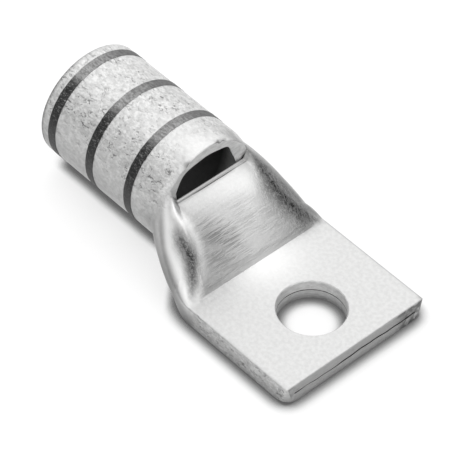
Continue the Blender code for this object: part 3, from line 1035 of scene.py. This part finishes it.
def makeBands():
    tree = bpy.data.node_groups.new("inkBandTree", "GeometryNodeTree")
    face = tree.interface
    face.new_socket("Geometry", in_out="OUTPUT", socket_type="NodeSocketGeometry")
    inputs = {}
    for name, kind, value in (
        ("Count", "NodeSocketInt", bands["count"]),
        ("Sides", "NodeSocketInt", bands["sides"]),
        ("Radius", "NodeSocketFloat", (barrelRadius + bands["film"]) * mm),
        ("Width", "NodeSocketFloat", bands["width"] * mm),
        ("Film", "NodeSocketFloat", bands["film"] * bands["filmShare"] * mm),
        ("Ragged", "NodeSocketFloat", bands["ragged"] * mm),
        ("Ink", "NodeSocketMaterial", makeBandInk()),
    ):
        socket = face.new_socket(name, in_out="INPUT", socket_type=kind)
        inputs[name] = (socket.identifier, value)
    for name, place in (("First", bands["first"]), ("Last", bands["last"])):
        socket = face.new_socket(name, in_out="INPUT", socket_type="NodeSocketVector")
        inputs[name] = (socket.identifier, ((place - endX / 2) * mm, 0.0, barrelRadius * mm))

    def add(kind, **settings):
        node = tree.nodes.new(kind)
        for key, value in settings.items():
            setattr(node, key, value)
        return node

    given = add("NodeGroupInput")
    circle = add("GeometryNodeCurvePrimitiveCircle")
    profile = add("GeometryNodeCurvePrimitiveQuadrilateral")
    sweep = add("GeometryNodeCurveToMesh")
    line = add("GeometryNodeMeshLine", mode="END_POINTS")
    spread = add("GeometryNodeInstanceOnPoints")
    real = add("GeometryNodeRealizeInstances")
    rough = add("ShaderNodeTexNoise")
    centred = add("ShaderNodeMath", operation="SUBTRACT")
    shift = add("ShaderNodeMath", operation="MULTIPLY")
    along = add("ShaderNodeCombineXYZ")
    moved = add("GeometryNodeSetPosition")
    ink = add("GeometryNodeSetMaterial")
    out = add("NodeGroupOutput")
    spread.inputs["Rotation"].default_value = (0, math.pi / 2, 0)
    rough.inputs["Scale"].default_value = bands["raggedScale"]
    rough.inputs["Detail"].default_value = bands["raggedDetail"]
    centred.inputs[1].default_value = 0.5
    for source, target in (
        (given.outputs["Sides"], circle.inputs["Resolution"]),
        (given.outputs["Radius"], circle.inputs["Radius"]),
        (given.outputs["Film"], profile.inputs["Width"]),
        (given.outputs["Width"], profile.inputs["Height"]),
        (circle.outputs["Curve"], sweep.inputs["Curve"]),
        (profile.outputs["Curve"], sweep.inputs["Profile Curve"]),
        (given.outputs["Count"], line.inputs["Count"]),
        (given.outputs["First"], line.inputs["Start Location"]),
        (given.outputs["Last"], line.inputs["Offset"]),
        (line.outputs["Mesh"], spread.inputs["Points"]),
        (sweep.outputs["Mesh"], spread.inputs["Instance"]),
        (spread.outputs["Instances"], real.inputs["Geometry"]),
        (rough.outputs["Fac"], centred.inputs[0]),
        (centred.outputs["Value"], shift.inputs[0]),
        (given.outputs["Ragged"], shift.inputs[1]),
        (shift.outputs["Value"], along.inputs["X"]),
        (real.outputs["Geometry"], moved.inputs["Geometry"]),
        (along.outputs["Vector"], moved.inputs["Offset"]),
        (moved.outputs["Geometry"], ink.inputs["Geometry"]),
        (given.outputs["Ink"], ink.inputs["Material"]),
        (ink.outputs["Geometry"], out.inputs["Geometry"]),
    ):
        tree.links.new(source, target)
    piece = bpy.data.objects.new("inkBands", bpy.data.meshes.new("inkBands"))
    bpy.context.scene.collection.objects.link(piece)
    modifier = piece.modifiers.new("bands", "NODES")
    modifier.node_group = tree
    for identifier, value in inputs.values():
        modifier[identifier] = value
    baked = bakeMesh(piece)
    piece.modifiers.clear()
    piece.data = baked
    # The film is pressed level where the barrel rests, with its inner face a little higher
    for vertex in baked.vertices:
        away = math.hypot(vertex.co.y, vertex.co.z - barrelRadius * mm)
        onOuter = away > (barrelRadius + bands["film"]) * mm
        least = bands["outerLeast"] if onOuter else bands["innerLeast"]
        vertex.co.z = max(vertex.co.z, least * mm)
    x, y, z = vertexPlaces(baked)
    wayRound = np.arctan2(y, z - barrelRadius) * barrelRadius
    for name in ("inkWearAndSheen", "speckled"):
        paintLayer(baked, name, np.interp(wayRound, bands["wayRound"], bands[name]))
    baked.shade_smooth()
    baked.set_sharp_from_angle(angle=math.radians(bands["sharpAngle"]))
    return piece


# Floor and light, in metres
studio = {
    # Soft sources in the sky: degrees round from +X towards +Y, degrees up, level
    "sky": (
        (0, 52, 1.60), (60, 52, 0.88), (120, 52, 1.05),
        (180, 52, 0.75), (240, 52, 1.30), (300, 52, 0.45),
        (0, 14, 0.45), (120, 14, 1.45), (180, 14, 2.10), (240, 14, 0.20), (300, 14, 0.70),
    ),
    "skyFocus": 8,
    "floorHalf": 3,
    # The floor's colour as it is seen, the share of that look that glows, and its colour for
    # the light that it throws back
    "floorSeen": 1.0,
    "floorGlow": 0.6,
    "floorBounce": 0.62,
    # The painted contact shadow, darkened into the floor's colour by ambient occlusion: its reach,
    # the openness at which it is darkest and at which it ends, and its darkest tone
    "contactReach": 0.0026,
    "contactFrom": 0.50,
    "contactTo": 0.97,
    "contactTone": 0.15,
    "contactSamples": 12,
    "lampPower": 0.03,
    "lampSize": 0.24,
    "lampPlace": (-0.05, 0.05, 0.20),
}


def makeFloor():
    # Pale floor: white to the camera, in the metal and through glass, and it keeps the lug's
    # shadow, with a painted contact shadow from ambient occlusion. Only the light that it throws
    # back is less.
    material = bpy.data.materials.new("paleFloor")
    material.use_nodes = True
    material.cycles.emission_sampling = "NONE"
    n = Nodes(material.node_tree)
    path = n.add("ShaderNodeLightPath")
    seen = n.math("MAXIMUM", path.outputs["Is Camera Ray"], path.outputs["Is Glossy Ray"])
    seen = n.math("MAXIMUM", seen, path.outputs["Is Transmission Ray"])
    black, white = (0, 0, 0, 1), (1, 1, 1, 1)
    bounce, look = studio["floorBounce"], studio["floorSeen"]
    colour = n.mix(seen, (bounce, bounce, bounce, 1), (look, look, look, 1))
    # Painted contact shadow: ambient occlusion darkens the floor's colour and its glow near the
    # lug
    near = n.add("ShaderNodeAmbientOcclusion", samples=studio["contactSamples"])
    n.put(studio["contactReach"], near.inputs["Distance"])
    contact = n.range(near.outputs["AO"], studio["contactFrom"], studio["contactTo"],
                      studio["contactTone"], 1.0)
    diffuse = n.add("ShaderNodeBsdfDiffuse")
    n.put(n.mix(contact, black, colour), diffuse.inputs["Color"])
    glow = n.add("ShaderNodeEmission")
    n.put(n.mix(contact, black, white), glow.inputs["Color"])
    both = n.add("ShaderNodeMixShader")
    n.put(n.times(seen, studio["floorGlow"]), both.inputs["Fac"])
    n.put(diffuse.outputs["BSDF"], both.inputs[1])
    n.put(glow.outputs["Emission"], both.inputs[2])
    n.put(both.outputs["Shader"], n.tree.nodes["Material Output"].inputs["Surface"])
    return material


def fromAngles(azimuth, elevation):
    # The direction so many degrees round from +X towards +Y, and so many up
    turn, up = math.radians(azimuth), math.radians(elevation)
    return (math.cos(turn) * math.cos(up), math.sin(turn) * math.cos(up), math.sin(up))


def makeStudio():
    half = studio["floorHalf"]
    corners = [(-half, -half, 0), (half, -half, 0), (half, half, 0), (-half, half, 0)]
    floorMesh = bpy.data.meshes.new("floor")
    floorMesh.from_pydata(corners, [], [(0, 1, 2, 3)])
    floorMesh.materials.append(makeFloor())
    floor = bpy.data.objects.new("floor", floorMesh)
    bpy.context.scene.collection.objects.link(floor)
    world = bpy.data.worlds.new("studio")
    bpy.context.scene.world = world
    world.use_nodes = True
    n = Nodes(world.node_tree)
    total = 0.0
    for azimuth, elevation, level in studio["sky"]:
        facing = n.add("ShaderNodeVectorMath", operation="DOT_PRODUCT")
        n.put(n.place.outputs["Generated"], facing.inputs[0])
        n.put(fromAngles(azimuth, elevation), facing.inputs[1])
        ahead = n.math("MAXIMUM", facing.outputs["Value"], 0.0)
        total = n.math("ADD", total, n.times(n.math("POWER", ahead, studio["skyFocus"]), level))
    n.put(total, n.tree.nodes["Background"].inputs["Strength"])
    n.put((1, 1, 1, 1), n.tree.nodes["Background"].inputs["Color"])
    softBox = bpy.data.lights.new("softBox", "AREA")
    softBox.energy, softBox.size = studio["lampPower"], studio["lampSize"]
    lamp = bpy.data.objects.new("softBox", softBox)
    lamp.location = studio["lampPlace"]
    lamp.rotation_mode = "QUATERNION"
    lamp.rotation_quaternion = (-Vector(lamp.location)).to_track_quat("-Z", "Y")
    bpy.context.scene.collection.objects.link(lamp)


# The camera fitted to the photo: degrees turned from -Y towards +X, degrees up and degrees
# rolled, its aim on the lug and its distance in millimetres, its focal length in pixels of
# the photo, and its clipping in metres
camera = {
    "azimuth": 47.728,
    "elevation": 46.328,
    "roll": 0.80,
    "aim": (25.689, 3.790, 0.0),
    "distance": 456.99,
    "focalPixels": 3141.465,
    "framePixels": 450,
    "sensorWidth": 36.0,
    "clip": (0.01, 20),
}


def makeCamera():
    azimuth, elevation, roll = (math.radians(camera[k]) for k in ("azimuth", "elevation", "roll"))
    flat = math.cos(elevation)
    back = Vector((math.sin(azimuth) * flat, -math.cos(azimuth) * flat, math.sin(elevation)))
    flatRight = Vector((math.cos(azimuth), math.sin(azimuth), 0))
    flatUp = back.cross(flatRight)
    right = math.cos(roll) * flatRight + math.sin(roll) * flatUp
    up = back.cross(right)
    data = bpy.data.cameras.new("camera")
    data.sensor_width = camera["sensorWidth"]
    data.lens = camera["focalPixels"] / camera["framePixels"] * data.sensor_width
    data.clip_start, data.clip_end = camera["clip"]
    eye = Vector(toWorld([camera["aim"]])[0]) + back * camera["distance"] * mm
    view = bpy.data.objects.new("camera", data)
    view.matrix_world = Matrix.Translation(eye) @ Matrix((right, up, back)).transposed().to_4x4()
    bpy.context.scene.collection.objects.link(view)
    bpy.context.scene.camera = view


makeCamera()
makeStudio()
print("studio and camera made")
body = makeLug()
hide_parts("lug_body")
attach(body, "root")
print("lug made,", len(body.data.polygons), "faces")
inkBands = makeBands()
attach(inkBands, "root")
print("ink bands made,", len(inkBands.data.polygons), "faces")

bpy.context.scene.view_settings.view_transform = "Standard"
